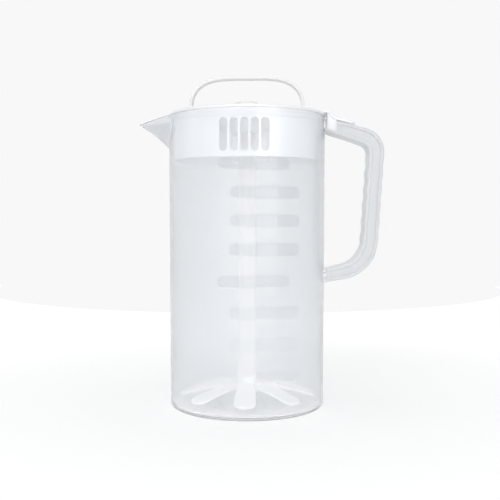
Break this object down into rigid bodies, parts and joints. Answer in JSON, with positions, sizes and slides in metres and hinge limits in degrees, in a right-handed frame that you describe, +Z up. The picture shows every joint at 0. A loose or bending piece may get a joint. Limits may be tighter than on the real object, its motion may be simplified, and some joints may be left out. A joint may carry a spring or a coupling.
{
  "type": "stirring pitcher",
  "caption": "Tall round kitchen pitcher with a spout and a D handle, a turning strainer lid and a stirring plunger that slides through the lid.",
  "frame": {"origin": "centre of the flat underside that the pitcher stands on", "axes": "+Z up along the vessel's axis, +X towards the handle, -X towards the spout, -Y the side with the graduation windows"},
  "size_m": [0.1912, 0.122, 0.2577],
  "materials": {
    "frosted_clear": "frosted translucent, with polished clear windows",
    "lid_white": "satin opaque white",
    "plunger_white": "satin opaque warm white",
    "soft_white": "matt silicone"
  },
  "bodies": {
    "pitcher": {"pitcher_body": "frosted_clear"},
    "lid_ring": {"lid_gasket": "soft_white"},
    "lid_cover": {"lid": "lid_white", "shaft_grommet": "soft_white"},
    "plunger": {"plunger_handle": "plunger_white", "plunger_shaft": "plunger_white", "stirrer": "plunger_white"}
  },
  "joints": [
    {"name": "lid_lift", "type": "slide", "parent": "pitcher", "child": "lid_ring", "axis": [0, 0, 1], "range_m": [0, 0.235]},
    {"name": "lid_turn", "type": "hinge", "parent": "lid_ring", "child": "lid_cover", "pos_m": [0, 0, 0.2263], "axis": [0, 0, 1], "range_deg": [-90, 90]},
    {"name": "plunger_slide", "type": "slide", "parent": "lid_cover", "child": "plunger", "axis": [0, 0, 1], "range_m": [0, 0.189]}
  ]
}
